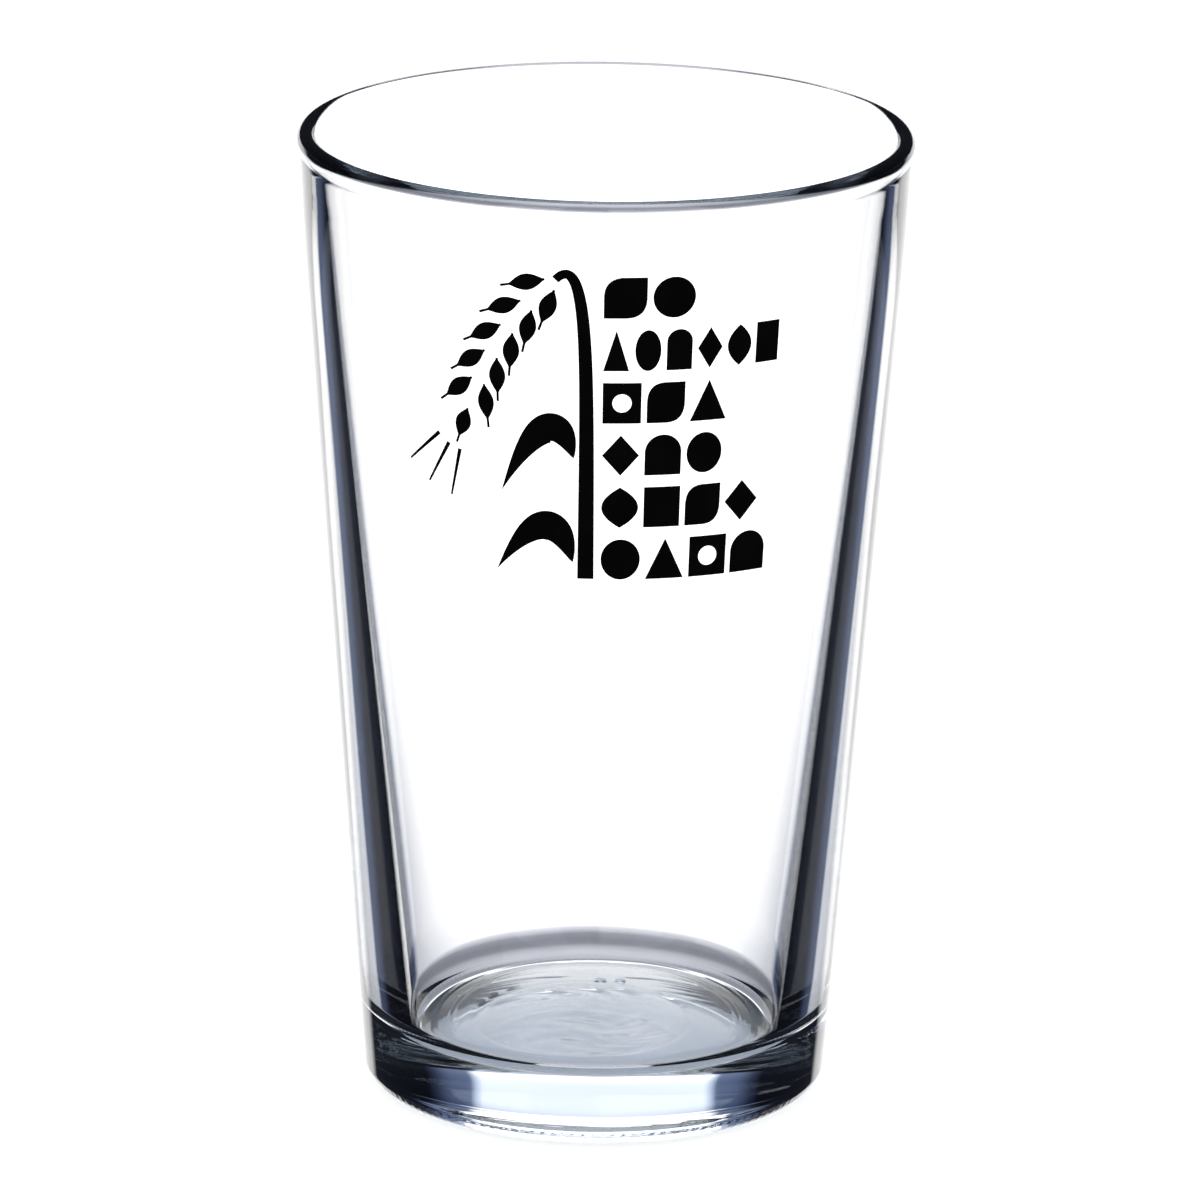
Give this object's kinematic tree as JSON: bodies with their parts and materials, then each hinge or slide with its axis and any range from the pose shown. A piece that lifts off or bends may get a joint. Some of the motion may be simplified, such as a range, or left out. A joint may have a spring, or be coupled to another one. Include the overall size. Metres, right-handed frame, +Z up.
{
  "type": "pint glass",
  "caption": "Conical pint glass in clear pressed glass, with a beaded rim, a thick base and a black fired print of a barley ear beside rows of plain shapes.",
  "frame": {"origin": "on the glass's axis, in the plane of the flat ring it stands on", "axes": "+Z up along the axis, from the foot to the rim; the print is on the -Y side, and reads from -X to +X"},
  "size_m": [0.0888, 0.0888, 0.143],
  "materials": {
    "clear_glass": "fire-polished, clear, faint blue-grey",
    "black_enamel": "screen-printed, fired on, semi-gloss"
  },
  "bodies": {
    "root": {"glass_body": "clear_glass", "print_bristle_1": "black_enamel", "print_bristle_2": "black_enamel", "print_bristle_3": "black_enamel", "print_grain_1": "black_enamel", "print_grain_10": "black_enamel", "print_grain_11": "black_enamel", "print_grain_2": "black_enamel", "print_grain_3": "black_enamel", "print_grain_4": "black_enamel", "print_grain_5": "black_enamel", "print_grain_6": "black_enamel", "print_grain_7": "black_enamel", "print_grain_8": "black_enamel", "print_grain_9": "black_enamel", "print_leaf_lower": "black_enamel", "print_leaf_upper": "black_enamel", "print_row1_1_leaf": "black_enamel", "print_row1_2_oval": "black_enamel", "print_row2_1_triangle": "black_enamel", "print_row2_2_oval": "black_enamel", "print_row2_3_arch": "black_enamel", "print_row2_4_diamond": "black_enamel", "print_row2_5_petal": "black_enamel", "print_row2_6_block": "black_enamel", "print_row3_1_pierced_block": "black_enamel", "print_row3_2_leaf": "black_enamel", "print_row3_3_triangle": "black_enamel", "print_row4_1_diamond": "black_enamel", "print_row4_2_arch": "black_enamel", "print_row4_3_oval": "black_enamel", "print_row5_1_petal": "black_enamel", "print_row5_2_block": "black_enamel", "print_row5_3_leaf": "black_enamel", "print_row5_4_diamond": "black_enamel", "print_row6_1_oval": "black_enamel", "print_row6_2_triangle": "black_enamel", "print_row6_3_pierced_block": "black_enamel", "print_row6_4_arch": "black_enamel", "print_stem": "black_enamel"}
  },
  "joints": []
}
